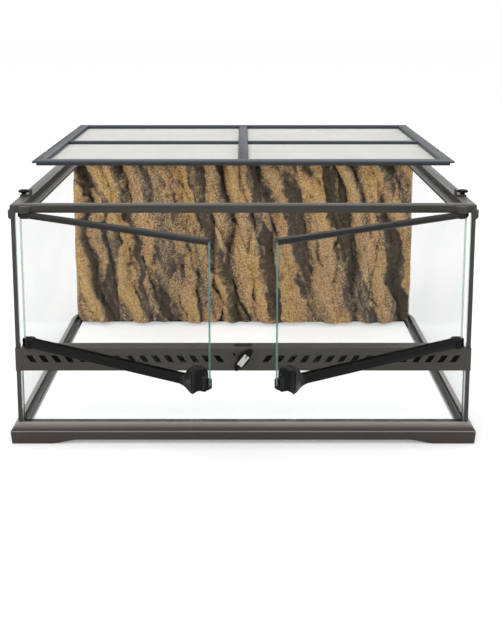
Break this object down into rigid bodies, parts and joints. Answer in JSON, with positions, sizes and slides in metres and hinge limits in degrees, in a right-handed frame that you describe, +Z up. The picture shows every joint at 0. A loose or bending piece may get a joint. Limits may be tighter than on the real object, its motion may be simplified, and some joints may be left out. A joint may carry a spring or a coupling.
{
  "type": "reptile terrarium",
  "caption": "Front-opening glass terrarium with hinged doors, twist lock, lift-off screen lid and rock relief background.",
  "frame": {"origin": "centre of the bounding box at rest, on the plane that the feet stand on", "axes": "+X to the right seen from the doors, +Y to the back, +Z up"},
  "size_m": [0.611, 0.5972, 0.3658],
  "materials": {
    "charcoal_plastic": "satin",
    "gloss_black": "semi-gloss",
    "clear_glass": "clear float glass, green edges",
    "silicone": "translucent",
    "dark_mesh": "black woven mesh",
    "lid_mesh": "fine woven mesh",
    "pin_steel": "ground",
    "silver_insert": "satin",
    "rock_foam": "coated foam, sandy"
  },
  "bodies": {
    "tank": {"base_frame": "charcoal_plastic", "floor_pane": "clear_glass", "left_pane": "clear_glass", "right_pane": "clear_glass", "rear_pane": "clear_glass", "front_pane": "clear_glass", "silicone_seams": "silicone", "left_lower_post": "charcoal_plastic", "right_lower_post": "charcoal_plastic", "left_upper_post": "charcoal_plastic", "right_upper_post": "charcoal_plastic", "vent_strip": "charcoal_plastic", "vent_mesh": "dark_mesh", "door_stop": "charcoal_plastic", "lock_stop_pin": "charcoal_plastic", "top_frame": "charcoal_plastic", "rock_panel": "rock_foam", "lower_hinge_pins": "pin_steel", "upper_hinge_pins": "pin_steel"},
    "left_door": {"left_door_pane": "clear_glass", "left_door_top_rail": "charcoal_plastic", "left_door_bottom_rail": "charcoal_plastic", "left_door_handle": "gloss_black"},
    "right_door": {"right_door_pane": "clear_glass", "right_door_top_rail": "charcoal_plastic", "right_door_bottom_rail": "charcoal_plastic", "right_door_handle": "gloss_black"},
    "lock": {"lock_knob": "gloss_black", "lock_insert": "silver_insert", "lock_spindle": "pin_steel", "lock_retainer": "pin_steel"},
    "lid": {"lid_frame": "charcoal_plastic", "lid_middle_bar": "charcoal_plastic", "lid_cross_bars": "charcoal_plastic", "lid_screen_front_left": "lid_mesh", "lid_screen_front_right": "lid_mesh", "lid_screen_rear_left": "lid_mesh", "lid_screen_rear_right": "lid_mesh"},
    "left_latch": {"left_latch_slide": "charcoal_plastic", "left_latch_knob": "gloss_black"},
    "right_latch": {"right_latch_slide": "charcoal_plastic", "right_latch_knob": "gloss_black"},
    "left_gate": {"left_inlet_gate": "charcoal_plastic"},
    "right_gate": {"right_inlet_gate": "charcoal_plastic"}
  },
  "joints": [
    {"name": "left_door_swing", "type": "hinge", "parent": "tank", "child": "left_door", "pos_m": [-0.278, -0.14786, 0.2], "axis": [0, 0, 1], "range_deg": [-80, 30]},
    {"name": "right_door_swing", "type": "hinge", "parent": "tank", "child": "right_door", "pos_m": [0.278, -0.14786, 0.2], "axis": [0, 0, 1], "range_deg": [-30, 80]},
    {"name": "lock_turn", "type": "hinge", "parent": "tank", "child": "lock", "pos_m": [0, -0.15386, 0.115], "axis": [0, 1, 0], "range_deg": [-38, 52]},
    {"name": "lid_lift", "type": "slide", "parent": "tank", "child": "lid", "axis": [0, 0.7071, 0.7071], "range_m": [-0.06647, 0.05]},
    {"name": "left_latch_slide", "type": "slide", "parent": "tank", "child": "left_latch", "axis": [1, 0, 0], "range_m": [0, 0.006]},
    {"name": "right_latch_slide", "type": "slide", "parent": "tank", "child": "right_latch", "axis": [-1, 0, 0], "range_m": [0, 0.006]},
    {"name": "left_gate_slide", "type": "slide", "parent": "tank", "child": "left_gate", "axis": [1, 0, 0], "range_m": [0, 0.03]},
    {"name": "right_gate_slide", "type": "slide", "parent": "tank", "child": "right_gate", "axis": [-1, 0, 0], "range_m": [0, 0.03]}
  ]
}
